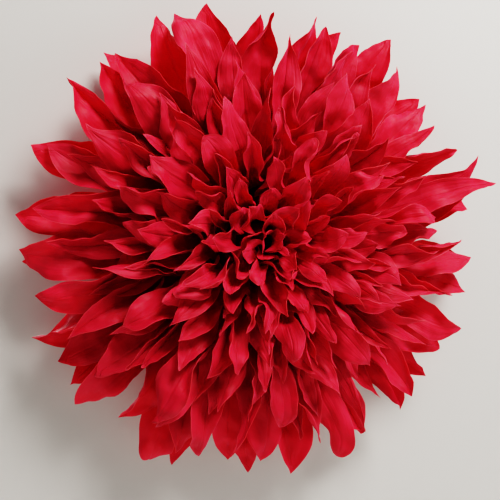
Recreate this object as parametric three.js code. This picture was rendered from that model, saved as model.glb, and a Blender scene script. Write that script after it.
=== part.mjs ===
// A giant paper dahlia that hangs flat on a wall: rings of cut and curled petals glued round a foam dome
// on a card backing disc, with foam pads behind. Run with the npm package three.
// Millimetres. The flower is drawn with its axis along +Z and its back at z = 0, then the exported group
// is stood up, so that the flower faces -Y, +Z is up and the wall plane is y = 0.
import * as THREE from "three";
import { mergeGeometries, mergeVertices } from "three/addons/utils/BufferGeometryUtils.js";

// Driving dimensions
const FLOWER_RADIUS = 345; // axis to the tips of the lowest ring
const RIM_HEIGHT = 42; // wall to the tips of the lowest ring
const CROWN_HEIGHT = 178; // wall to the tips round the centre
const CROWN_ROUNDING = 2.2; // how long the crown stays level before it falls to the rim
const CENTRE_RADIUS = 20; // axis to the tips of the innermost ring
const RING_COUNT = 13;
const CARD = 0.5; // petal sheet
const GAP = 0.3; // glue line between pieces that meet

const PAD = { side: 30, thickness: 2, ring: 95, count: 4 };
const BOARD = { radius: 150, thickness: 5, sides: 72 };
const CORE = { radius: 115, height: 88, sides: 40, steps: 7 };

// Petals. The pitch is the room each petal has round its ring, so it grows with the distance from the axis.
const LOWEST_PITCH = 65; // at the widest place of a petal in the lowest ring
const INNERMOST_PITCH = 26;
const WIDEST_AT = 0.6; // share of the length at which a petal is widest
const FILL = 0.92; // width of a petal, in pitches
const TIP_WIDTH = 3;
const TIP_ROUNDING = 0.8; // below one, the widest part runs further towards the tip
const TAB = { from: 120, to: 147 }; // glued flat on the disc, at the foot of a petal in the lowest ring
const COLLAR = 6; // length of the foot that is glued to the dome, in the other rings
const DOME_FOOT_ANGLES = [84, 7]; // from the axis, for the second ring and for the innermost
const ARCH = 17; // degrees that a petal leaves its foot above its chord, and falls below it at the tip
const CUP = 20; // degrees that each half of a petal is folded up from its midrib
const CUP_FULL_AT = 0.25; // share of the length by which a petal is folded up that much
const ROLL = 7; // most that a petal leans about its midrib
const REACH_SHARE = 0.045; // most that a petal is longer or shorter than its ring
const FINE_RINGS = 6; // rings, from the lowest, whose long petals are bent in more steps
const STEPS = { fine: 5, coarse: 4 }; // along a petal, with the foot as the first

// Rings whose petals are separate pieces. In the others the feet are glued edge to edge into one collar.
const SEPARATE_RINGS = [1, 12, 13];

const radians = THREE.MathUtils.degToRad;
const mix = THREE.MathUtils.lerp;

const boardBack = PAD.thickness + GAP;
const boardFront = boardBack + BOARD.thickness;
const domeFoot = boardFront + GAP;

const paper = new THREE.MeshStandardMaterial({ color: 0xa5061a, roughness: 0.6, metalness: 0 });
const foamBoard = new THREE.MeshStandardMaterial({ color: 0xe6dfd2, roughness: 0.8, metalness: 0 });
const foam = new THREE.MeshStandardMaterial({ color: 0x860a16, roughness: 0.9, metalness: 0 });
const padFoam = new THREE.MeshStandardMaterial({ color: 0xd8d8d4, roughness: 0.9, metalness: 0 });

// Fractions of a turn that never repeat, so that neighbours differ: of a petal, a ring and a channel.
const PETAL_STEP = 0.6180339887;
const RING_STEP = 0.4142135624;
const CHANNEL_STEP = 0.2360679775;

// An even, repeatable spread from -1 to 1 for petal number `petal` of ring `ring`.
function spread(ring, petal, channel) {
  const turns = PETAL_STEP * petal + RING_STEP * ring * (channel + 1) + CHANNEL_STEP * channel * petal;
  return 2 * (turns - Math.floor(turns)) - 1;
}

// Height of the petal tips above the wall, at a distance from the axis.
function crownAt(radius) {
  return RIM_HEIGHT + (CROWN_HEIGHT - RIM_HEIGHT) * (1 - Math.pow(radius / FLOWER_RADIUS, CROWN_ROUNDING));
}

// A ring, in the plane of the axis (x is the distance from the axis, y the height): the foot and the bend
// above it, the tip, and the directions in which a petal leaves its bend and arrives at its tip.
function ringOf(number) {
  const inward = (number - 1) / (RING_COUNT - 1);
  const tipRadius = mix(FLOWER_RADIUS, CENTRE_RADIUS, inward);
  const tip = new THREE.Vector2(tipRadius, crownAt(tipRadius));
  const lowest = number === 1;

  let foot = new THREE.Vector2(TAB.from, boardFront + CARD + GAP);
  if (!lowest) {
    const share = (number - 2) / (RING_COUNT - 2);
    const angle = radians(mix(DOME_FOOT_ANGLES[0], DOME_FOOT_ANGLES[1], share));
    foot = new THREE.Vector2(CORE.radius * Math.sin(angle), domeFoot + CORE.height * Math.cos(angle));
    foot.addScaledVector(new THREE.Vector2(Math.sin(angle), Math.cos(angle)), CARD + GAP);
  }
  const rise = tip.clone().sub(foot).angle();
  const leave = new THREE.Vector2(Math.cos(rise + radians(ARCH)), Math.sin(rise + radians(ARCH)));
  const arrive = new THREE.Vector2(Math.cos(rise - radians(ARCH)), Math.sin(rise - radians(ARCH)));
  const bend = lowest ? new THREE.Vector2(TAB.to, foot.y) : foot.clone().addScaledVector(leave, COLLAR);

  const widestRadius = mix(foot.x, tipRadius, WIDEST_AT);
  const count = Math.round((2 * Math.PI * widestRadius) / mix(LOWEST_PITCH, INNERMOST_PITCH, inward));
  const steps = number > FINE_RINGS ? STEPS.coarse : STEPS.fine;
  return { number, foot, bend, tip, leave, arrive, count, steps };
}

// The midrib of a petal from its bend to its tip. A longer petal reaches farther out, no lower.
function midribOf(ring, reach) {
  const tip = new THREE.Vector2(ring.tip.x * reach, ring.tip.y);
  const pull = tip.distanceTo(ring.bend) / 3;
  const afterBend = ring.bend.clone().addScaledVector(ring.leave, pull);
  const beforeTip = tip.clone().addScaledVector(ring.arrive, -pull);
  return new THREE.CubicBezierCurve(ring.bend, afterBend, beforeTip, tip);
}

// Width of a petal at a share of its length: it fills its pitch as that grows, then runs out to a point.
function widthAt(share, pitch, widestPitch) {
  if (share < WIDEST_AT) {
    return FILL * pitch;
  }
  const run = (share - WIDEST_AT) / (1 - WIDEST_AT);
  return mix(TIP_WIDTH, FILL * widestPitch, Math.pow(Math.cos((Math.PI / 2) * run), TIP_ROUNDING));
}

// Splits the lower skin along the same diagonals as the upper one, so that the two don't cross in a twist.
function matchDiagonals(sheet) {
  const index = sheet.index.array;
  const lowerSkin = sheet.groups[5];
  for (let i = lowerSkin.start; i < lowerSkin.start + lowerSkin.count; i += 6) {
    index[i + 2] = index[i + 4];
    index[i + 3] = index[i];
  }
}

// Leaves out the side faces of a foot, along which it is glued to its neighbours.
function withoutGluedSides(sheet, steps) {
  const places = sheet.getAttribute("position");
  const isGlued = (i) => Math.abs(places.getY(i)) === 1 && places.getX(i) < 1.5 / steps - 0.5;
  const kept = [];
  for (let i = 0; i < sheet.index.count; i += 3) {
    const corners = [0, 1, 2].map((corner) => sheet.index.getX(i + corner));
    if (!corners.every(isGlued)) {
      kept.push(...corners);
    }
  }
  sheet.setIndex(kept);
}

// One petal: a card strip bent up at its foot and along its midrib, folded into a trough and leaned a little.
function petalGeometry(ring, petal, isJoined) {
  const midrib = midribOf(ring, 1 + REACH_SHARE * spread(ring.number, petal, 0));
  const lean = radians(ROLL) * spread(ring.number, petal, 1);
  const pitchAt = (radius) => (2 * Math.PI * radius) / ring.count;
  const widestPitch = pitchAt(midrib.getPointAt(WIDEST_AT).x);

  const sheet = new THREE.BoxGeometry(1, 2, CARD, ring.steps, 2, 1);
  matchDiagonals(sheet);
  if (isJoined) {
    withoutGluedSides(sheet, ring.steps);
  }
  const places = sheet.getAttribute("position");
  for (let i = 0; i < places.count; i++) {
    const row = Math.round((places.getX(i) + 0.5) * ring.steps);
    const side = places.getY(i);
    const share = Math.max(0, (row - 1) / (ring.steps - 1));
    const at = row === 0 ? ring.foot : midrib.getPointAt(share);
    const along = row === 0 ? ring.bend.clone().sub(ring.foot).normalize() : midrib.getTangentAt(share);

    const opening = Math.min(1, share / CUP_FULL_AT);
    const half = widthAt(share, pitchAt(at.x), widestPitch) / 2;
    const fold = radians(CUP) * opening;
    const flat = half * side * Math.cos(fold);
    const lift = half * Math.abs(side) * Math.sin(fold) + places.getZ(i);
    const turned = new THREE.Vector2(flat, lift).rotateAround(new THREE.Vector2(), lean * opening);

    let radius = at.x - along.y * turned.y;
    let sideways = turned.x;
    let turns = petal + (ring.number % 2) / 2;
    if (isJoined && row < 2 && side !== 0) {
      // The edge of a glued foot stands half a pitch round, where its neighbour's does.
      radius /= Math.cos(Math.PI / ring.count);
      sideways = 0;
      turns = ((petal + (side > 0 ? 1 : 0)) % ring.count) - 0.5 + (ring.number % 2) / 2;
    }
    const azimuth = (2 * Math.PI * turns) / ring.count;
    const x = radius * Math.cos(azimuth) - sideways * Math.sin(azimuth);
    const y = radius * Math.sin(azimuth) + sideways * Math.cos(azimuth);
    places.setXYZ(i, x, y, at.y + along.x * turned.y);
  }
  sheet.deleteAttribute("normal");
  sheet.deleteAttribute("uv");
  return sheet;
}

function meshOf(name, geometry, material) {
  const mesh = new THREE.Mesh(geometry, material);
  mesh.name = name;
  return mesh;
}

const twoDigits = (number) => String(number).padStart(2, "0");

// The petals of a ring as separate meshes, or as one where their feet are glued together.
function ringMeshes(number) {
  const ring = ringOf(number);
  const isJoined = !SEPARATE_RINGS.includes(number);
  const petals = Array.from({ length: ring.count }, (_, petal) => petalGeometry(ring, petal, isJoined));
  if (isJoined) {
    return [meshOf(`petal_ring_${twoDigits(number)}`, mergeVertices(mergeGeometries(petals)), paper)];
  }
  return petals.map((petal, i) => {
    return meshOf(`petal_${twoDigits(number)}_${twoDigits(i + 1)}`, mergeVertices(petal), paper);
  });
}

// Card disc that carries the flower.
function backingDisc() {
  const disc = new THREE.CylinderGeometry(BOARD.radius, BOARD.radius, BOARD.thickness, BOARD.sides);
  const mesh = meshOf("backing_disc", disc, foamBoard);
  mesh.rotation.x = Math.PI / 2;
  mesh.position.z = (boardBack + boardFront) / 2;
  return mesh;
}

// Foam dome, painted red, that lifts the inner rings.
function foamDome() {
  const profile = [new THREE.Vector2(0, 0)];
  for (let i = 0; i <= CORE.steps; i++) {
    const angle = (Math.PI / 2) * (1 - i / CORE.steps);
    const radius = i === CORE.steps ? 0 : CORE.radius * Math.sin(angle);
    profile.push(new THREE.Vector2(radius, CORE.height * Math.cos(angle)));
  }
  const mesh = meshOf("foam_dome", new THREE.LatheGeometry(profile, CORE.sides), foam);
  mesh.rotation.x = Math.PI / 2;
  mesh.position.z = domeFoot;
  return mesh;
}

// Double-sided foam pads that hold the disc to the wall: one at the centre and a ring of others.
function wallPads() {
  return Array.from({ length: PAD.count + 1 }, (_, i) => {
    const pad = new THREE.BoxGeometry(PAD.side, PAD.side, PAD.thickness);
    const mesh = meshOf(`wall_pad_${i + 1}`, pad, padFoam);
    const angle = (2 * Math.PI * (i - 0.5)) / PAD.count;
    const distance = i === 0 ? 0 : PAD.ring;
    mesh.position.set(distance * Math.cos(angle), distance * Math.sin(angle), PAD.thickness / 2);
    return mesh;
  });
}

const flower = new THREE.Group();
flower.add(backingDisc(), foamDome(), ...wallPads());
for (let number = 1; number <= RING_COUNT; number++) {
  flower.add(...ringMeshes(number));
}
flower.rotation.x = Math.PI / 2;

export default flower;
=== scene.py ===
"""The looks of a giant card dahlia that hangs on a wall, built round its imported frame.

Lengths are in metres. A petal is drawn in the flower's own axes (x to the right, y up the wall, z out of
the wall towards the viewer) and then stood up into the frame's, where the flower faces -Y and +Z is up.
"""

import logging
import math
import random
from dataclasses import dataclass, field
from enum import Enum

import bmesh
import bpy
from mathutils import Matrix, Vector
from mathutils.bvhtree import BVHTree


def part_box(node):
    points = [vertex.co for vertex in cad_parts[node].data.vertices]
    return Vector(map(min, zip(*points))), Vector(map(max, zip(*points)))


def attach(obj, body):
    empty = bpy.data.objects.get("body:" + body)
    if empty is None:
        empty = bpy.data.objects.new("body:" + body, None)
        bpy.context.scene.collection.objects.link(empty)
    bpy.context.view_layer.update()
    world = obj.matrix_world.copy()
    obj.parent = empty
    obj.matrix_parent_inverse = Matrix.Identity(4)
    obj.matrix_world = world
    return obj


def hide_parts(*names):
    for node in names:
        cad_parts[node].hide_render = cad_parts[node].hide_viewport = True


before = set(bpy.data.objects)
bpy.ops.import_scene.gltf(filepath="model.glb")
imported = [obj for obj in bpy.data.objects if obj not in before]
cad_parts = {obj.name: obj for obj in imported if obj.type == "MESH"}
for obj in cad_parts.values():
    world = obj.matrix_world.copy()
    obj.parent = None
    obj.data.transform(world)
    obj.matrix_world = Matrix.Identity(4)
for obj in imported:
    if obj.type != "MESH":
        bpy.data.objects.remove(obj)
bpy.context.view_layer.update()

LOG = logging.getLogger("paper_dahlia")
STAND_UP = Matrix.Rotation(math.pi / 2, 4, "X")
MM = 0.001


# ---------------------------------------------------------------------------------------------------
# Small sums
# ---------------------------------------------------------------------------------------------------


def mix(start: float, end: float, share: float) -> float:
    """Returns the value a share of the way from start to end."""
    return start + (end - start) * share


def eased(value: float) -> float:
    """Returns value held to 0..1 and eased at both ends."""
    held = min(1.0, max(0.0, value))
    return held * held * (3 - 2 * held)


def either_way(rng: random.Random, low: float, high: float) -> float:
    """Returns a random amount between low and high, with a random sign."""
    return rng.choice((-1, 1)) * rng.uniform(low, high)


# ---------------------------------------------------------------------------------------------------
# Finishes
# ---------------------------------------------------------------------------------------------------


class NodeBench:
    """Lays nodes in a node tree and joins their sockets."""

    def __init__(self, tree: bpy.types.NodeTree) -> None:
        """Starts on an empty tree.

        Args:
            tree: The tree of a material or of a node group.
        """
        self.tree = tree
        tree.nodes.clear()

    def lay(self, kind: str, inputs: dict | None = None, **settings: object) -> bpy.types.Node:
        """Adds a node, sets its properties and fills its inputs.

        Args:
            kind: The node's type name.
            inputs: A value, or a socket to link, for each input by name or number.
            **settings: The node's own properties.

        Returns:
            The new node.
        """
        node = self.tree.nodes.new(kind)
        for name, value in settings.items():
            setattr(node, name, value)
        for name, value in (inputs or {}).items():
            if isinstance(value, bpy.types.NodeSocket):
                self.tree.links.new(value, node.inputs[name])
            else:
                node.inputs[name].default_value = value
        return node

    def sum(self, operation: str, *values: object) -> bpy.types.NodeSocket:
        """Adds a Math node and returns its result."""
        return self.lay("ShaderNodeMath", dict(enumerate(values)), operation=operation).outputs[0]

    def ramp(self, value: object, low: float, high: float, start: float = 0, end: float = 1) -> object:
        """Eases a value's stretch from low to high onto start to end, and returns the socket."""
        inputs = {"Value": value, "From Min": low, "From Max": high, "To Min": start, "To Max": end}
        return self.lay("ShaderNodeMapRange", inputs, interpolation_type="SMOOTHSTEP").outputs[0]

    def blend(self, share: object, start: object, end: object) -> bpy.types.NodeSocket:
        """Mixes two colours by a share and returns the result."""
        node = self.lay("ShaderNodeMix", data_type="RGBA")
        for place, value in ((0, share), (6, start), (7, end)):
            if isinstance(value, bpy.types.NodeSocket):
                self.tree.links.new(value, node.inputs[place])
            else:
                node.inputs[place].default_value = value
        return node.outputs[2]

    def attribute(self, name: str) -> bpy.types.NodeSocket:
        """Reads a number stored on the mesh."""
        return self.lay("ShaderNodeAttribute", attribute_name=name).outputs["Fac"]

    def noise(self, vector: object, scale: float, detail: float = 2, rough: float = 0.5) -> object:
        """Adds a noise texture on a vector and returns its value."""
        inputs = {"Vector": vector, "Scale": scale, "Detail": detail, "Roughness": rough}
        return self.lay("ShaderNodeTexNoise", inputs).outputs["Fac"]


def paper_grain() -> bpy.types.NodeTree:
    """Builds the grain that every paper surface has, once.

    Returns:
        A group with an input for the fineness of the grain and outputs for its height and its mottle.
    """
    name = "Paper grain"
    if name in bpy.data.node_groups:
        return bpy.data.node_groups[name]
    group = bpy.data.node_groups.new(name, "ShaderNodeTree")
    bench = NodeBench(group)
    fineness = group.interface.new_socket("Fineness", in_out="INPUT", socket_type="NodeSocketFloat")
    fineness.default_value = 1.0
    group.interface.new_socket("Height", in_out="OUTPUT", socket_type="NodeSocketFloat")
    group.interface.new_socket("Mottle", in_out="OUTPUT", socket_type="NodeSocketFloat")
    entry = bench.lay("NodeGroupInput")
    place = bench.lay("ShaderNodeTexCoord").outputs["Object"]
    scaled = bench.lay(
        "ShaderNodeVectorMath", {0: place, "Scale": entry.outputs[0]}, operation="SCALE"
    ).outputs[0]
    fibres = bench.noise(scaled, 1400, 3, 0.7)
    pulp = bench.noise(scaled, 260, 3, 0.6)
    height = bench.sum("ADD", bench.sum("MULTIPLY", fibres, 0.45), bench.sum("MULTIPLY", pulp, 0.55))
    mottle = bench.ramp(bench.noise(scaled, 38, 4, 0.6), 0.32, 0.68)
    bench.lay("NodeGroupOutput", {"Height": height, "Mottle": mottle})
    return group


def new_material(name: str) -> tuple[bpy.types.Material, NodeBench]:
    """Makes an empty node material.

    Args:
        name: The material's name.

    Returns:
        The material and a bench on its tree.
    """
    material = bpy.data.materials.new(name)
    material.use_nodes = True
    return material, NodeBench(material.node_tree)


@dataclass(frozen=True)
class PetalCard:
    """Dyed card, red right through, with long soft creases, a fine grain and a painted highlight: a paler
    band along its edge.
    """

    deep: tuple[float, ...] = (0.46, 0.006, 0.028, 1)
    bright: tuple[float, ...] = (0.62, 0.018, 0.052, 1)
    # pale and margin give the colour and width of the painted highlight along each petal's edge.
    pale: tuple[float, ...] = (0.85, 0.12, 0.16, 1)
    roughness: float = 0.6
    creases: float = 2.8  # across a petal
    crease_depth: float = 5.5 * MM
    grain_depth: float = 0.12 * MM
    margin: float = 1.1 * MM  # width of the paler edge

    def build(self) -> bpy.types.Material:
        """Returns the card as a material that follows each petal's own length and width."""
        material, bench = new_material("Petal card")
        across = bench.attribute("across")
        along = bench.attribute("along")
        tone = bench.attribute("tone")
        from_edge = bench.attribute("margin")
        grain = bench.lay("ShaderNodeGroup", node_tree=paper_grain())

        # Creases run along the petal and fan out from its foot, a different set on each petal.
        lines = bench.lay(
            "ShaderNodeCombineXYZ",
            {
                "X": bench.sum("MULTIPLY", across, self.creases),
                "Y": bench.sum("MULTIPLY", along, 1.6),
                "Z": bench.sum("MULTIPLY", tone, 40.0),
            },
        ).outputs[0]
        creases = bench.noise(lines, 1.0, 3, 0.55)
        place = bench.lay("ShaderNodeTexCoord").outputs["Object"]
        dents = bench.noise(place, 42, 2, 0.5)
        fold = bench.ramp(bench.sum("ABSOLUTE", across), 0.0, 0.10)

        relief = bench.sum(
            "ADD",
            bench.sum("MULTIPLY", creases, 0.62),
            bench.sum("ADD", bench.sum("MULTIPLY", dents, 0.5), bench.sum("MULTIPLY", fold, 0.16)),
        )
        shaped = bench.lay(
            "ShaderNodeBump", {"Strength": 0.8, "Distance": self.crease_depth, "Height": relief}
        ).outputs[0]
        textured = bench.lay(
            "ShaderNodeBump",
            {
                "Strength": 0.5,
                "Distance": self.grain_depth,
                "Height": grain.outputs["Height"],
                "Normal": shaped,
            },
        ).outputs[0]

        # Painted highlight: the card is made paler within the margin of its edge, standing in for light
        # caught along the cut.
        edge = bench.ramp(from_edge, self.margin, 0.2 * self.margin)
        shade = bench.sum(
            "ADD",
            bench.sum("MULTIPLY", tone, 0.62),
            bench.sum("MULTIPLY", grain.outputs["Mottle"], 0.38),
        )
        body = bench.blend(shade, self.deep, self.bright)
        colour = bench.blend(bench.sum("MULTIPLY", edge, 0.42), body, self.pale)
        roughness = bench.sum(
            "ADD", self.roughness - 0.06, bench.sum("MULTIPLY", grain.outputs["Mottle"], 0.14)
        )
        shader = bench.lay(
            "ShaderNodeBsdfPrincipled",
            {
                "Base Color": colour,
                "Roughness": roughness,
                "Normal": textured,
                "Specular IOR Level": 0.24,
                "Subsurface Weight": 0.35,
                "Subsurface Radius": (1.0, 0.04, 0.08),
                "Subsurface Scale": 0.004,
                "Sheen Weight": 0.22,
                "Sheen Roughness": 0.4,
                "Sheen Tint": (1.0, 0.2, 0.4, 1),
            },
        )
        bench.lay("ShaderNodeOutputMaterial", {"Surface": shader.outputs[0]})
        return material


@dataclass(frozen=True)
class CutEdge:
    """The cut through the card, where the fibres stand open and catch the light."""

    colour: tuple[float, ...] = (0.86, 0.07, 0.08, 1)
    shaded: tuple[float, ...] = (0.55, 0.01, 0.02, 1)

    def build(self) -> bpy.types.Material:
        """Returns the cut edge as a material."""
        material, bench = new_material("Cut card edge")
        grain = bench.lay("ShaderNodeGroup", {"Fineness": 1.5}, node_tree=paper_grain())
        colour = bench.blend(grain.outputs["Mottle"], self.shaded, self.colour)
        normal = bench.lay(
            "ShaderNodeBump", {"Strength": 0.4, "Distance": 0.1 * MM, "Height": grain.outputs["Height"]}
        ).outputs[0]
        shader = bench.lay(
            "ShaderNodeBsdfPrincipled", {"Base Color": colour, "Roughness": 0.7, "Normal": normal}
        )
        bench.lay("ShaderNodeOutputMaterial", {"Surface": shader.outputs[0]})
        return material


@dataclass(frozen=True)
class FacedBoard:
    """Foam board: two paper faces and, between them at the rim, the foam."""

    paper: tuple[float, ...] = (0.80, 0.77, 0.70, 1)
    stained: tuple[float, ...] = (0.70, 0.65, 0.56, 1)
    foam: tuple[float, ...] = (0.90, 0.89, 0.85, 1)
    facing: float = 0.6 * MM

    def build(self, back: float, front: float) -> bpy.types.Material:
        """Returns the board as a material.

        Args:
            back: Where its back face lies along Y.
            front: Where its front face lies along Y.
        """
        material, bench = new_material("Faced foam board")
        grain = bench.lay("ShaderNodeGroup", {"Fineness": 0.6}, node_tree=paper_grain())
        place = bench.lay("ShaderNodeTexCoord").outputs["Object"]
        depth = bench.lay("ShaderNodeSeparateXYZ", {0: place}).outputs["Y"]
        middle = (back + front) / 2
        half = abs(back - front) / 2
        inward = bench.sum("ABSOLUTE", bench.sum("SUBTRACT", depth, middle))
        core = bench.ramp(inward, half - 0.5 * self.facing, half - self.facing)
        cells = bench.lay("ShaderNodeTexVoronoi", {"Vector": place, "Scale": 900.0}).outputs["Distance"]
        faces = bench.blend(grain.outputs["Mottle"], self.stained, self.paper)
        colour = bench.blend(core, faces, self.foam)
        height = bench.sum("ADD", grain.outputs["Height"], bench.sum("MULTIPLY", core, cells))
        normal = bench.lay(
            "ShaderNodeBump", {"Strength": 0.5, "Distance": 0.2 * MM, "Height": height}
        ).outputs[0]
        roughness = bench.sum("ADD", 0.62, bench.sum("MULTIPLY", grain.outputs["Mottle"], 0.2))
        shader = bench.lay(
            "ShaderNodeBsdfPrincipled", {"Base Color": colour, "Roughness": roughness, "Normal": normal}
        )
        bench.lay("ShaderNodeOutputMaterial", {"Surface": shader.outputs[0]})
        return material


@dataclass(frozen=True)
class CellFoam:
    """Foam whose beads or pores show as cells, with painted shade darkening the sunken gaps between them
    and random soiling.
    """

    name: str
    light: tuple[float, ...]
    gap_shade_and_soil: tuple[float, ...]
    cell: float
    roughness: float = 0.85

    def build(self) -> bpy.types.Material:
        """Returns the foam as a material."""
        material, bench = new_material(self.name)
        place = bench.lay("ShaderNodeTexCoord").outputs["Object"]
        cells = bench.lay(
            "ShaderNodeTexVoronoi", {"Vector": place, "Scale": 1 / self.cell}, feature="DISTANCE_TO_EDGE"
        ).outputs["Distance"]
        raised = bench.ramp(cells, 0.0, 0.25)
        soiled = bench.ramp(bench.noise(place, 30, 4, 0.6), 0.35, 0.75)
        # Painted shade: the colour darkens towards the sunken edges of each cell, and also in random
        # patches of soiling.
        colour = bench.blend(bench.sum("MULTIPLY", raised, soiled), self.gap_shade_and_soil, self.light)
        normal = bench.lay(
            "ShaderNodeBump", {"Strength": 0.6, "Distance": 0.12 * self.cell, "Height": raised}
        ).outputs[0]
        roughness = bench.sum("SUBTRACT", self.roughness, bench.sum("MULTIPLY", raised, 0.1))
        shader = bench.lay(
            "ShaderNodeBsdfPrincipled", {"Base Color": colour, "Roughness": roughness, "Normal": normal}
        )
        bench.lay("ShaderNodeOutputMaterial", {"Surface": shader.outputs[0]})
        return material


# ---------------------------------------------------------------------------------------------------
# Petals
# ---------------------------------------------------------------------------------------------------


class PetalKind(Enum):
    """How a petal was worked before it was glued on."""

    OPEN = "broad and gently cupped"
    TROUGH = "folded up along its midrib"
    TURNED = "twisted on its midrib"
    RECURVED = "its tip curled back over a rod"
    HOOKED = "its tip curled forwards"
    CRUMPLED = "wavy and pinched"


@dataclass(frozen=True)
class Midrib:
    """The line down the middle of a petal, as a cubic curve from its foot to its tip."""

    foot: Vector
    after_foot: Vector
    before_tip: Vector
    tip: Vector

    def at(self, share: float) -> Vector:
        """Returns the point a share of the way along."""
        rest = 1 - share
        return (
            self.foot * rest**3
            + self.after_foot * (3 * share * rest**2)
            + self.before_tip * (3 * share**2 * rest)
            + self.tip * share**3
        )

    def heading(self, share: float) -> Vector:
        """Returns the unit direction a share of the way along."""
        rest = 1 - share
        slope = (
            (self.after_foot - self.foot) * rest**2
            + (self.before_tip - self.after_foot) * (2 * share * rest)
            + (self.tip - self.before_tip) * share**2
        )
        return slope.normalized()


@dataclass(frozen=True)
class PetalForm:
    """One petal's cut outline and the way it is bent.

    Angles are in radians. Each half of the petal is folded up at the midrib and curved by its cup, the
    margins wave out of step with each other, and a hem on one side is rolled over for part of the length.
    The whole is leaned about the midrib and twisted further towards the tip.
    """

    midrib: Midrib
    across: Vector
    width: float
    foot_width: float
    widest: float = 0.55
    shoulder: float = 1.7
    point: float = 1.3
    lopsided: float = 0.0
    fold: float = 0.0
    cup: float = 0.4
    tip_cup: float = 0.1
    uneven: float = 0.0
    wave: float = 0.3
    waves: float = 1.2
    skew: float = 1.3
    hem: float = 0.0
    hem_at: float = 0.6
    hem_side: int = 1
    lean: float = 0.0
    twist: float = 0.0
    phase: float = 0.0
    tone: float = 0.5

    def half_width(self, share: float) -> float:
        """Returns the half-width a share of the way along: a swelling blade that runs out to a point."""
        if share < self.widest:
            swell = math.sin(math.pi / 2 * share / self.widest)
            return mix(self.foot_width, self.width, swell) / 2
        run = (share - self.widest) / (1 - self.widest)
        return self.width / 2 * (1 - run**self.shoulder) ** self.point

    def bend(self, share: float, side: float) -> float:
        """Finds how far the card is turned up out of the petal's middle plane.

        Args:
            share: How far along the petal, from 0 at the foot to 1 at the tip.
            side: How far across it, from -1 to 1.

        Returns:
            The angle, positive where the card rises towards its margin.
        """
        out = abs(side)
        cup = mix(self.cup, self.tip_cup, eased((share - 0.45) / 0.5)) * (1 + self.uneven * side)
        swing = math.sin(math.tau * (self.waves * share + self.phase) + self.skew * side)
        angle = self.fold * eased(share / 0.5) + cup * out + self.wave * out * swing
        if side * self.hem_side > 0:
            angle += self.hem * out**3 * eased(1 - abs(share - self.hem_at) / 0.35)
        return angle

    def row(self, share: float, sides: list[float]) -> list[Vector]:
        """Finds a row of points across the bent petal.

        Args:
            share: How far along the petal, from 0 at the foot to 1 at the tip.
            sides: How far across it each point is, from -1 to 1 in rising order, with 0 in the middle.

        Returns:
            The points in the flower's own axes.
        """
        ahead = self.midrib.heading(share)
        across = (self.across - ahead * self.across.dot(ahead)).normalized()
        face = ahead.cross(across)
        opened = eased(share / 0.3)
        roll = self.lean * opened + self.twist * share * share
        turned = across * math.cos(roll) + face * math.sin(roll)
        face = face * math.cos(roll) - across * math.sin(roll)

        half = self.half_width(share)
        tilt = self.lopsided * math.sin(math.tau * (share + 2 * self.phase))
        start = self.midrib.at(share)
        points = {0.0: start}
        for direction in (-1, 1):
            strip = half * (1 + tilt * direction)
            point, reached = start, 0.0
            for side in sorted((side for side in sides if side * direction > 0), key=abs):
                angle = opened * self.bend(share, (side + reached) / 2)
                step = strip * abs(side - reached)
                point = point + turned * (direction * step * math.cos(angle))
                point += face * (step * math.sin(angle))
                points[side] = point
                reached = side
        return [points[side] for side in sides]


@dataclass(frozen=True)
class RingPlan:
    """A ring of petals, in the plane of the flower's axis: distance from the axis, then height."""

    number: int
    count: int
    foot: Vector
    tip: Vector
    leave: float
    arrive: float

    @property
    def pitch(self) -> float:
        """The angle from one petal to the next."""
        return math.tau / self.count

    @property
    def length(self) -> float:
        """The straight distance from foot to tip."""
        return (self.tip - self.foot).length

    def azimuth(self, petal: int) -> float:
        """Returns the middle direction of a petal, from the right and anticlockwise."""
        return (petal + (self.number % 2) / 2) * self.pitch


@dataclass
class FlowerPlan:
    """The flower's driving sizes and the rings that follow from them."""

    flower_radius: float = 0.345
    rim_height: float = 0.042
    crown_height: float = 0.178
    centre_radius: float = 0.020
    crown_curve: float = 2.2
    ring_count: int = 13
    card: float = 0.5 * MM
    gap: float = 0.3 * MM
    lowest_pitch: float = 0.065
    innermost_pitch: float = 0.026
    widest: float = 0.6
    tab_from: float = 0.120
    first_dome_angle: float = math.radians(84)
    last_dome_angle: float = math.radians(7)
    arch: float = math.radians(17)

    def __post_init__(self) -> None:
        """Reads the dome and the disc from the frame."""
        low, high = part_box("foam_dome")
        self.dome_radius = (high.x - low.x) / 2
        self.dome_height = high.y - low.y
        self.dome_foot = -high.y
        self.disc_front = -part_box("backing_disc")[0].y

    def crown_at(self, radius: float) -> float:
        """Returns the height of the petal tips at a distance from the axis."""
        fall = (radius / self.flower_radius) ** self.crown_curve
        return mix(self.crown_height, self.rim_height, fall)

    def ring(self, number: int) -> RingPlan:
        """Lays out a ring.

        Args:
            number: 1 for the lowest ring, ring_count for the innermost.

        Returns:
            The ring's plan.
        """
        inward = (number - 1) / (self.ring_count - 1)
        tip_radius = mix(self.flower_radius, self.centre_radius, inward)
        tip = Vector((tip_radius, self.crown_at(tip_radius)))
        clear = self.card + self.gap
        if number == 1:
            foot = Vector((self.tab_from, self.disc_front + clear))
        else:
            share = (number - 2) / (self.ring_count - 2)
            angle = mix(self.first_dome_angle, self.last_dome_angle, share)
            foot = Vector(
                (
                    (self.dome_radius + clear) * math.sin(angle),
                    self.dome_foot + (self.dome_height + clear) * math.cos(angle),
                )
            )
        rise = math.atan2(tip.y - foot.y, tip.x - foot.x)
        room = math.tau * mix(foot.x, tip_radius, self.widest)
        count = round(room / mix(self.lowest_pitch, self.innermost_pitch, inward))
        leave = 0.0 if number == 1 else rise + self.arch
        return RingPlan(number, count, foot, tip, leave, rise - self.arch)


@dataclass(frozen=True)
class Stray:
    """A petal that was pulled out past its neighbours.

    Its direction and its swing to one side are in degrees, anticlockwise. Its reach is a share of its
    planned distance from the axis, and its lift is how much higher than planned it stands.
    """

    ring: int
    petal: int
    direction: float
    reach: float
    lift: float
    swing: float
    kind: PetalKind


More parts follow.
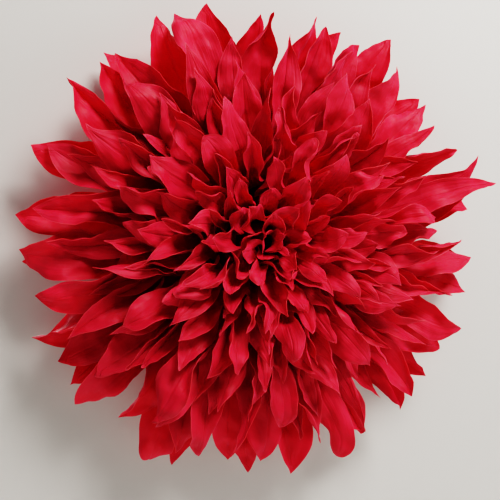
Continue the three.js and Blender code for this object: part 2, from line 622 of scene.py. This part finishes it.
@dataclass(frozen=True)
class Aim:
    """Where a petal points, in the flower's own axes.

    Sway is how far its tip lies to one side, and swing how steeply it turns to that side at its end.
    """

    azimuth: float
    radius: float
    height: float
    sway: float
    swing: float

    @property
    def outward(self) -> Vector:
        """The unit direction away from the axis."""
        return Vector((math.cos(self.azimuth), math.sin(self.azimuth), 0))

    @property
    def across(self) -> Vector:
        """The unit direction round the axis, anticlockwise."""
        return Vector((-math.sin(self.azimuth), math.cos(self.azimuth), 0))


@dataclass
class PetalWorker:
    """Cuts and bends each petal a little differently, the way they come from the hand."""

    rng: random.Random
    plan: FlowerPlan
    sinking: float = 0.6  # how far a petal's height follows the crown as it reaches further out
    over_under: tuple[float, float] = (-0.02, 0.06)  # every other petal is glued over its neighbours
    broad_side: float = math.radians(140)  # the direction in which petals are broadest
    broadening: float = 0.10
    rim_rings: int = 2
    heart_rings: int = 3
    heart_broadening: float = 1.5
    heart_reach: tuple[float, float] = (-0.2, 0.5)
    outer_reaches: tuple[tuple[float, float], ...] = ((-0.05, 0.02), (-0.01, 0.08), (0.0, 0.15))
    usual_reach: tuple[float, float] = (-0.08, 0.2)
    strays: tuple[Stray, ...] = (
        Stray(3, 0, 11.5, 1.23, 0.030, -12, PetalKind.OPEN),
        Stray(3, 1, 20, 1.17, 0.034, 42, PetalKind.TURNED),
    )

    def stray(self, ring: RingPlan, petal: int) -> Stray | None:
        """Returns how a petal was pulled out, if it was."""
        found = [each for each in self.strays if (each.ring, each.petal) == (ring.number, petal)]
        return found[0] if found else None

    def in_heart(self, ring: RingPlan) -> bool:
        """Returns whether a ring belongs to the crumpled heart of the flower."""
        return ring.number > self.plan.ring_count - self.heart_rings

    def reaches(self, ring: RingPlan) -> tuple[float, float]:
        """Returns how much shorter and longer than planned a ring's petals may be, as shares."""
        if self.in_heart(ring):
            return self.heart_reach
        if ring.number <= len(self.outer_reaches):
            return self.outer_reaches[ring.number - 1]
        return self.usual_reach

    def choose(self, ring: RingPlan) -> PetalKind:
        """Returns a kind of petal that suits the ring."""
        inward = self.plan.ring_count - ring.number
        if inward <= 3:
            weights = (0, 0, 1, 0, 2, 6)
        elif inward <= 6:
            weights = (1, 2, 4, 2, 2, 4)
        elif ring.number > 2:
            weights = (4, 4, 5, 2, 2, 2)
        else:
            weights = (6, 3, 3, 1, 1, 1)
        return self.rng.choices(list(PetalKind), weights=weights)[0]

    def bends(self, kind: PetalKind) -> dict[str, float]:
        """Draws how a kind of petal is bent.

        Args:
            kind: The kind of petal.

        Returns:
            Values for the fields of PetalForm, and "curl", the extra angle that its tip is turned up by.
        """
        rng = self.rng
        degrees = math.radians
        common = {
            "fold": degrees(rng.uniform(0, 16)),
            "cup": degrees(rng.uniform(10, 40)),
            "tip_cup": degrees(rng.uniform(-30, 30)),
            "lean": degrees(rng.uniform(-18, 18)),
            "twist": degrees(rng.uniform(-35, 35)),
            "curl": degrees(rng.uniform(-24, 14)),
            "uneven": rng.uniform(-0.6, 0.6),
            "shoulder": rng.uniform(1.5, 2.3),
            "point": rng.uniform(1.15, 1.55),
            "widest": rng.uniform(0.48, 0.64),
            "wave": degrees(rng.uniform(25, 75)),
            "waves": rng.uniform(0.9, 2.2),
            "skew": rng.uniform(0.2, 2.6),
            "lopsided": rng.uniform(0.0, 0.3),
        }
        hem = {
            "hem": degrees(either_way(rng, 50, 150)),
            "hem_at": rng.uniform(0.5, 0.85),
            "hem_side": rng.choice((-1, 1)),
        }
        special = {
            PetalKind.OPEN: {},
            PetalKind.TROUGH: {
                "fold": degrees(rng.uniform(22, 46)),
                "cup": degrees(rng.uniform(15, 50)),
                "tip_cup": degrees(rng.uniform(-10, 30)),
            },
            PetalKind.TURNED: {
                "lean": degrees(either_way(rng, 10, 30)),
                "twist": degrees(either_way(rng, 45, 115)),
                **hem,
            },
            PetalKind.RECURVED: {
                "tip_cup": degrees(rng.uniform(-60, -10)),
                "curl": degrees(rng.uniform(-85, -40)),
            },
            PetalKind.HOOKED: {
                "fold": degrees(rng.uniform(10, 35)),
                "curl": degrees(rng.uniform(25, 60)),
                **hem,
            },
            PetalKind.CRUMPLED: {
                "cup": degrees(rng.uniform(20, 80)),
                "tip_cup": degrees(rng.uniform(-90, 40)),
                "twist": degrees(rng.uniform(-70, 70)),
                "curl": degrees(rng.uniform(-80, 50)),
                "wave": degrees(rng.uniform(50, 95)),
                "waves": rng.uniform(1.4, 2.6),
                "shoulder": rng.uniform(1.8, 2.6),
                "point": rng.uniform(0.8, 1.1),
                "widest": rng.uniform(0.55, 0.68),
                **hem,
            },
        }
        return common | special[kind]

    def aim(self, ring: RingPlan, petal: int, freedom: float) -> Aim:
        """Points a petal.

        Args:
            ring: The ring it belongs to.
            petal: Its number in the ring.
            freedom: From 0, exactly in its place, to 1, as loose as petals get.

        Returns:
            Where it points.
        """
        rng = self.rng
        wandering = 0.2 if ring.number <= self.rim_rings else 0.34
        astray = ring.pitch * (0.55 if self.in_heart(ring) else wandering)
        azimuth = ring.azimuth(petal) + freedom * rng.uniform(-astray, astray)
        radius = ring.tip.x * (1 + freedom * rng.uniform(*self.reaches(ring)))
        height = mix(ring.tip.y, self.plan.crown_at(radius), self.sinking)
        height += ring.length * (freedom * rng.uniform(-0.05, 0.13) + self.over_under[petal % 2])
        sway = ring.length * freedom * rng.uniform(-0.17, 0.17)
        swing = freedom * rng.uniform(-0.5, 0.5)
        stray = self.stray(ring, petal)
        if stray:
            radius, height = ring.tip.x * stray.reach, ring.tip.y + stray.lift
            azimuth, swing = math.radians(stray.direction), math.tan(math.radians(stray.swing))
        return Aim(azimuth, radius, height, sway, swing)

    def midrib(self, ring: RingPlan, aim: Aim, curl: float, freedom: float) -> Midrib:
        """Curves a petal's midrib from the ring's foot to where the petal points.

        Args:
            ring: The ring it belongs to.
            aim: Where it points.
            curl: How far its tip is curled up.
            freedom: From 0, exactly in its place, to 1, as loose as petals get.

        Returns:
            The midrib.
        """
        outward, across, axis = aim.outward, aim.across, Vector((0, 0, 1))
        leave = ring.leave
        if ring.number > 1:
            leave += freedom * math.radians(self.rng.uniform(-5, 8))
        arrive = ring.arrive + curl
        foot = outward * ring.foot.x + axis * ring.foot.y
        tip = outward * aim.radius + axis * aim.height + across * aim.sway
        pull = (tip - foot).length / 3
        leaving = outward * math.cos(leave) + axis * math.sin(leave)
        arriving = outward * math.cos(arrive) + axis * math.sin(arrive)
        arriving += across * (aim.swing + 1.2 * aim.sway / ring.length)
        return Midrib(foot, foot + leaving * pull, tip - arriving.normalized() * pull, tip)

    def form(self, ring: RingPlan, petal: int, kind: PetalKind, freedom: float) -> PetalForm:
        """Bends one petal.

        Args:
            ring: The ring it belongs to.
            petal: Its number in the ring.
            kind: How it is worked.
            freedom: From 0, exactly in its place, to 1, as loose as petals get.

        Returns:
            The petal's form.
        """
        rng = self.rng
        bends = self.bends(kind)
        curl = bends.pop("curl") * freedom
        for name in ("lean", "twist"):
            bends[name] *= freedom
        broad = rng.uniform(0.84, 1.2) * mix(0.8, 1, freedom)
        if ring.number <= self.rim_rings:
            bends["widest"] += 0.07
            bends["shoulder"] += 0.4
            bends["point"] -= 0.3
            broad = rng.uniform(0.95, 1.2) * mix(0.9, 1, freedom)
        aim = self.aim(ring, petal, freedom)
        broad *= 1 + self.broadening * math.cos(aim.azimuth - self.broad_side)
        if self.in_heart(ring):
            broad *= self.heart_broadening
        room = ring.pitch * mix(ring.foot.x, ring.tip.x, self.plan.widest)
        return PetalForm(
            midrib=self.midrib(ring, aim, curl, freedom),
            across=aim.across,
            width=room * broad,
            foot_width=ring.pitch * ring.foot.x * 0.96,
            phase=rng.random(),
            tone=rng.random(),
            **bends,
        )


@dataclass
class PlacedPetal:
    """A petal that has found its place, with what is needed to keep others out of it."""

    form: PetalForm
    tree: BVHTree
    centre: Vector
    radius: float
    lowest: float
    highest: float


@dataclass
class PetalCage:
    """The few faces that a petal is made from before it is smoothed.

    Its rows are closer together towards the tip, and its columns towards the margins.
    """

    rows: int = 9
    columns: int = 6
    crowding: float = 1.25
    margin_crowding: float = 0.85
    sharpest_fold: float = math.radians(50)

    def share(self, run: float) -> float:
        """Returns the share along the petal of a row that is run of the way up the cage."""
        return 1 - (1 - run) ** self.crowding

    def side(self, offset: float) -> float:
        """Returns how far across the petal a column lies, from how far across the cage it does."""
        return math.copysign(abs(offset) ** self.margin_crowding, offset) if offset else 0.0

    def points(self, form: PetalForm) -> list[list[Vector]]:
        """Returns the cage's corners, row by row from the foot."""
        sides = [self.side(2 * column / self.columns - 1) for column in range(self.columns + 1)]
        return [form.row(self.share(row / self.rows), sides) for row in range(self.rows + 1)]

    def settle(self, form: PetalForm) -> "PlacedPetal":
        """Returns the petal with the shape that others have to miss."""
        corners = [corner for row in self.points(form) for corner in row]
        step = self.columns + 1
        faces = [
            (i, i + step, i + step + 1, i + 1)
            for i in range(self.rows * step)
            if i % step < self.columns
        ]
        centre = sum(corners, Vector()) / len(corners)
        radius = max((corner - centre).length for corner in corners)
        heights = [corner.z for corner in corners]
        tree = BVHTree.FromPolygons(corners, faces)
        return PlacedPetal(form, tree, centre, radius, min(heights), max(heights))

    def build(self, mesh: bmesh.types.BMesh, form: PetalForm) -> None:
        """Adds the petal's cage to a mesh.

        Args:
            mesh: The mesh of the piece that the petal belongs to.
            form: The petal's form.
        """
        layers = {name: mesh.verts.layers.float[name] for name in ("along", "across", "margin", "tone")}
        points = self.points(form)
        grid = bmesh.ops.create_grid(
            mesh, x_segments=self.rows, y_segments=self.columns, size=1.0
        )["verts"]
        tips, midrib = [], set()
        for corner in grid:
            row = round((corner.co.x + 1) / 2 * self.rows)
            column = round((corner.co.y + 1) / 2 * self.columns)
            share = self.share(row / self.rows)
            side = self.side(2 * column / self.columns - 1)
            corner[layers["along"]] = share
            corner[layers["across"]] = side
            corner[layers["margin"]] = form.half_width(share) * (1 - abs(side))
            corner[layers["tone"]] = form.tone
            corner.co = points[row][column]
            if row == self.rows:
                tips.append(corner)
            if side == 0:
                midrib.add(corner)
        folded = mesh.edges.layers.float["crease_edge"]
        for edge in {edge for corner in midrib for edge in corner.link_edges}:
            if midrib.issuperset(edge.verts):
                edge[folded] = min(0.8, form.fold / self.sharpest_fold)
        for tip in tips:
            tip[mesh.verts.layers.float["crease_vert"]] = 1.0
        bmesh.ops.pointmerge(mesh, verts=tips, merge_co=form.midrib.tip)


@dataclass
class PetalBed:
    """All the petals placed so far. Each new one is tried in several ways until it misses the others."""

    worker: PetalWorker
    tries: int = 130
    wall_clearance: float = 3 * MM
    ceiling: float = 185 * MM  # height that no petal passes
    placed: list[PlacedPetal] = field(default_factory=list)
    crossings: int = 0

    def clashes(self, candidate: PlacedPetal) -> int:
        """Counts the faces in which a petal would cut those already placed, and the room it leaves."""
        inside = self.wall_clearance < candidate.lowest and candidate.highest < self.ceiling
        found = 0 if inside else len(self.placed) + 1
        for other in self.placed:
            if (other.centre - candidate.centre).length < other.radius + candidate.radius:
                found += len(candidate.tree.overlap(other.tree))
        return found

    def place(self, ring: RingPlan, petal: int, cage: PetalCage) -> PetalForm:
        """Finds a form for the next petal.

        Args:
            ring: The ring it belongs to.
            petal: Its number in the ring.
            cage: The cage it is made from.

        Returns:
            The first form that touches nothing, or the one that touches least.
        """
        stray = self.worker.stray(ring, petal)
        kind = stray.kind if stray else self.worker.choose(ring)
        best, least = None, math.inf
        for attempt in range(self.tries):
            freedom = 1 - 0.75 * attempt / self.tries
            candidate = cage.settle(self.worker.form(ring, petal, kind, freedom))
            found = self.clashes(candidate)
            if found < least:
                best, least = candidate, found
            if not found:
                break
        self.placed.append(best)
        self.crossings += least > 0
        return best.form


@dataclass
class PetalPiece:
    """One piece of the flower: a single petal, or a ring whose petals are glued at their feet."""

    name: str
    node: str
    card: float
    cage: PetalCage
    forms: list[PetalForm] = field(default_factory=list)
    crinkle: float = 13 * MM
    crinkle_size: float = 28 * MM

    def build(self, finishes: list[bpy.types.Material]) -> bpy.types.Object:
        """Builds, thickens, smooths and dresses the piece.

        Args:
            finishes: The card and its cut edge.

        Returns:
            The finished object.
        """
        mesh = bmesh.new()
        for name in ("along", "across", "margin", "tone", "crease_vert"):
            mesh.verts.layers.float.new(name)
        mesh.edges.layers.float.new("crease_edge")
        for form in self.forms:
            self.cage.build(mesh, form)
        mesh.transform(STAND_UP)
        data = bpy.data.meshes.new(self.name)
        mesh.to_mesh(data)
        mesh.free()
        for finish in finishes:
            data.materials.append(finish)
        piece = bpy.data.objects.new(self.name, data)
        bpy.context.scene.collection.objects.link(piece)

        smooth = piece.modifiers.new("Smooth bend", "SUBSURF")
        smooth.levels = smooth.render_levels = 2
        crinkle = piece.modifiers.new("Handled", "DISPLACE")
        crinkle.texture = self.handling()
        crinkle.texture_coords = "LOCAL"
        crinkle.strength = self.crinkle
        thicken = piece.modifiers.new("Card", "SOLIDIFY")
        thicken.thickness = self.card
        thicken.offset = 0
        thicken.material_offset_rim = 1
        self.apply(piece)
        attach(piece, "root")
        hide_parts(self.node)
        return piece

    def handling(self) -> bpy.types.Texture:
        """Returns the noise that handling leaves in the card, made once."""
        name = "Handling"
        if name in bpy.data.textures:
            return bpy.data.textures[name]
        noise = bpy.data.textures.new(name, "CLOUDS")
        noise.noise_scale = self.crinkle_size
        noise.noise_depth = 1
        return noise

    @staticmethod
    def apply(piece: bpy.types.Object) -> None:
        """Makes the modifiers' result the piece's mesh, smooth on its faces and sharp at its cut edge."""
        bpy.context.view_layer.update()
        cage = piece.data
        name = cage.name
        evaluated = piece.evaluated_get(bpy.context.evaluated_depsgraph_get())
        final = bpy.data.meshes.new_from_object(evaluated)
        piece.modifiers.clear()
        piece.data = final
        bpy.data.meshes.remove(cage)
        final.name = name
        final.shade_smooth()
        final.set_sharp_from_angle(angle=math.radians(50))


@dataclass
class Blossom:
    """All the petals of the flower."""

    plan: FlowerPlan
    seed: int = 13
    separate_rings: tuple[int, ...] = (1, 12, 13)
    cage: PetalCage = field(default_factory=PetalCage)

    def build(self) -> None:
        """Places every petal, ring by ring from the lowest, and builds the pieces."""
        bed = PetalBed(PetalWorker(random.Random(self.seed), self.plan))
        finishes = [PetalCard().build(), CutEdge().build()]
        for number in range(1, self.plan.ring_count + 1):
            ring = self.plan.ring(number)
            forms = [bed.place(ring, petal, self.cage) for petal in range(ring.count)]
            for piece in self.pieces(ring, forms):
                built = piece.build(finishes)
                LOG.info("%s: %d faces", built.name, len(built.data.polygons))
        LOG.info("%d petals, %d touch another", len(bed.placed), bed.crossings)

    def pieces(self, ring: RingPlan, forms: list[PetalForm]) -> list[PetalPiece]:
        """Shares a ring's petals out among its pieces.

        Args:
            ring: The ring.
            forms: Its petals' forms, in order.

        Returns:
            One piece for the ring, or one for each petal where they stand apart.
        """
        if ring.number not in self.separate_rings:
            node = f"petal_ring_{ring.number:02d}"
            return [PetalPiece(f"card_ring_{ring.number:02d}", node, self.plan.card, self.cage, forms)]
        return [
            PetalPiece(
                f"card_petal_{ring.number:02d}_{i:02d}",
                f"petal_{ring.number:02d}_{i:02d}",
                self.plan.card,
                self.cage,
                [form],
            )
            for i, form in enumerate(forms, start=1)
        ]


# ---------------------------------------------------------------------------------------------------
# What the petals are glued to
# ---------------------------------------------------------------------------------------------------


@dataclass
class Backing:
    """The disc, the dome and the wall pads."""

    pad_edge: float = 0.5 * MM
    pad_names: tuple[str, ...] = tuple(f"wall_pad_{i}" for i in range(1, 6))

    def build(self) -> None:
        """Dresses the disc and the dome, and builds the pads with softened edges."""
        low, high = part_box("backing_disc")
        self.dress("backing_disc", FacedBoard().build(high.y, low.y))
        # The darker colour of each foam is its painted shade in the gaps between cells, and its soiling.
        bead = CellFoam("Painted foam", (0.24, 0.003, 0.010, 1), (0.10, 0.001, 0.004, 1), 3.5 * MM)
        self.dress("foam_dome", bead.build())
        pore = CellFoam("Pad foam", (0.72, 0.72, 0.70, 1), (0.52, 0.52, 0.51, 1), 0.8 * MM, 0.9)
        finish = pore.build()
        for name in self.pad_names:
            piece = self.pad(name, finish)
            LOG.info("%s: %d faces", piece.name, len(piece.data.polygons))

    @staticmethod
    def dress(node: str, finish: bpy.types.Material) -> None:
        """Gives a node of the frame a finish."""
        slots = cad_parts[node].material_slots
        for place in slots:
            place.link = "OBJECT"
            place.material = finish
        LOG.info("%s: dressed", node)

    def pad(self, node: str, finish: bpy.types.Material) -> bpy.types.Object:
        """Builds one wall pad.

        Args:
            node: The pad's node in the frame.
            finish: Its finish.

        Returns:
            The finished object.
        """
        low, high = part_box(node)
        size = high - low
        mesh = bmesh.new()
        place = Matrix.Translation((low + high) / 2) @ Matrix.Diagonal((*size, 1))
        bmesh.ops.create_cube(mesh, size=1.0, matrix=place)
        bmesh.ops.bevel(
            mesh,
            geom=mesh.edges[:],
            offset=self.pad_edge,
            segments=3,
            profile=0.5,
            affect="EDGES",
            material=-1,
        )
        name = f"foam_pad_{node[-1]}"
        data = bpy.data.meshes.new(name)
        mesh.to_mesh(data)
        mesh.free()
        data.materials.append(finish)
        data.shade_smooth()
        data.set_sharp_from_angle(angle=math.radians(50))
        piece = bpy.data.objects.new(name, data)
        bpy.context.scene.collection.objects.link(piece)
        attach(piece, "root")
        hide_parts(node)
        return piece


# ---------------------------------------------------------------------------------------------------
# Studio
# ---------------------------------------------------------------------------------------------------


@dataclass(frozen=True)
class Lamp:
    """A soft lamp that looks at the middle of the flower.

    Azimuth is in degrees to the viewer's right and elevation in degrees up, as seen from the flower.
    """

    name: str
    azimuth: float
    elevation: float
    distance: float
    size: float
    watts: float
    colour: tuple[float, float, float]


def direction(azimuth: float, elevation: float) -> Vector:
    """Returns the unit direction to a place in front of the flower, from degrees right and up."""
    side, up = math.radians(azimuth), math.radians(elevation)
    return Vector((math.sin(side) * math.cos(up), -math.cos(side) * math.cos(up), math.sin(up)))


@dataclass
class Studio:
    """Pale floor and wall, soft and nearly neutral lamps, and the camera."""

    middle: Vector = field(default_factory=lambda: Vector((-0.012, -0.06, -0.012)))
    wall_size: float = 6.0
    floor_drop: float = 0.62
    camera_azimuth: float = -12.0
    camera_elevation: float = 3.0
    camera_distance: float = 1.2
    lens: float = 59.5
    lamps: tuple[Lamp, ...] = (
        Lamp("key", 32, 48, 2.0, 0.75, 56, (1.0, 0.96, 0.92)),
        Lamp("side fill", 70, 5, 1.8, 1.2, 6, (0.93, 0.97, 1.0)),
        Lamp("low fill", -50, 10, 2.4, 1.8, 4, (1.0, 0.98, 0.96)),
        Lamp("back fill", 205, 25, 2.4, 1.4, 34, (1.0, 0.97, 0.94)),
    )

    def build(self) -> None:
        """Builds the stage, the lamps, the camera and the faint light of the room."""
        self.wall()
        self.floor()
        for lamp in self.lamps:
            self.hang(lamp)
        self.camera()
        self.room()
        bpy.context.scene.view_settings.view_transform = "Filmic"
        bpy.context.scene.view_settings.look = "Very High Contrast"

    def sheet(self, name: str, place: Matrix, finish: bpy.types.Material) -> None:
        """Lays a flat square sheet of the stage.

        Args:
            name: Its name.
            place: Where its middle lies and how it is turned.
            finish: Its finish.
        """
        mesh = bmesh.new()
        bmesh.ops.create_grid(mesh, x_segments=1, y_segments=1, size=self.wall_size / 2, matrix=place)
        data = bpy.data.meshes.new(name)
        mesh.to_mesh(data)
        mesh.free()
        data.materials.append(finish)
        sheet = bpy.data.objects.new(name, data)
        bpy.context.scene.collection.objects.link(sheet)

    def wall(self) -> None:
        """Hangs the pale wall, clear from behind so that the flower's back can be lit and seen."""
        material, bench = new_material("Pale wall")
        paint = bench.lay(
            "ShaderNodeBsdfPrincipled", {"Base Color": (0.55, 0.54, 0.52, 1), "Roughness": 0.9}
        )
        clear = bench.lay("ShaderNodeBsdfTransparent")
        behind = bench.lay("ShaderNodeNewGeometry").outputs["Backfacing"]
        shading = bench.lay("ShaderNodeLightPath").outputs["Is Shadow Ray"]
        one_sided = bench.lay(
            "ShaderNodeMixShader",
            {0: bench.sum("MAXIMUM", behind, shading), 1: paint.outputs[0], 2: clear.outputs[0]},
        )
        bench.lay("ShaderNodeOutputMaterial", {"Surface": one_sided.outputs[0]})
        self.sheet("wall", Matrix.Translation((0, 0.5 * MM, 0)) @ STAND_UP, material)

    def floor(self) -> None:
        """Lays the pale floor."""
        material, bench = new_material("Pale floor")
        shader = bench.lay(
            "ShaderNodeBsdfPrincipled", {"Base Color": (0.72, 0.71, 0.68, 1), "Roughness": 0.85}
        )
        bench.lay("ShaderNodeOutputMaterial", {"Surface": shader.outputs[0]})
        self.sheet("floor", Matrix.Translation((0, 0, -self.floor_drop)), material)

    def hang(self, lamp: Lamp) -> None:
        """Hangs a lamp."""
        light = bpy.data.lights.new(lamp.name, "AREA")
        light.shape = "DISK"
        light.size = lamp.size
        light.energy = lamp.watts
        light.color = lamp.colour
        holder = bpy.data.objects.new(lamp.name, light)
        away = direction(lamp.azimuth, lamp.elevation)
        holder.location = self.middle + away * lamp.distance
        holder.rotation_euler = away.to_track_quat("Z", "Y").to_euler()
        bpy.context.scene.collection.objects.link(holder)

    def room(self) -> None:
        """Fills the room with a faint light, and shows it as a pale backdrop past the wall's edges."""
        world = bpy.data.worlds.new("Room")
        world.use_nodes = True
        bench = NodeBench(world.node_tree)
        faint = bench.lay("ShaderNodeBackground", {"Color": (0.9, 0.93, 1.0, 1), "Strength": 0.075})
        pale = bench.lay("ShaderNodeBackground", {"Color": (0.78, 0.76, 0.73, 1), "Strength": 0.6})
        seen = bench.lay("ShaderNodeLightPath").outputs["Is Camera Ray"]
        both = bench.lay("ShaderNodeMixShader", {0: seen, 1: faint.outputs[0], 2: pale.outputs[0]})
        bench.lay("ShaderNodeOutputWorld", {"Surface": both.outputs[0]})
        bpy.context.scene.world = world

    def camera(self) -> None:
        """Sets the camera a little to the left of the flower and above its middle."""
        data = bpy.data.cameras.new("camera")
        data.lens = self.lens
        camera = bpy.data.objects.new("camera", data)
        away = direction(self.camera_azimuth, self.camera_elevation)
        camera.location = self.middle + away * self.camera_distance
        camera.rotation_euler = away.to_track_quat("Z", "Y").to_euler()
        bpy.context.scene.collection.objects.link(camera)
        bpy.context.scene.camera = camera


def main() -> None:
    """Builds the flower and the studio."""
    logging.basicConfig(level=logging.INFO, format="%(message)s")
    plan = FlowerPlan()
    Backing().build()
    Blossom(plan).build()
    Studio().build()


if __name__ == "__main__":
    main()
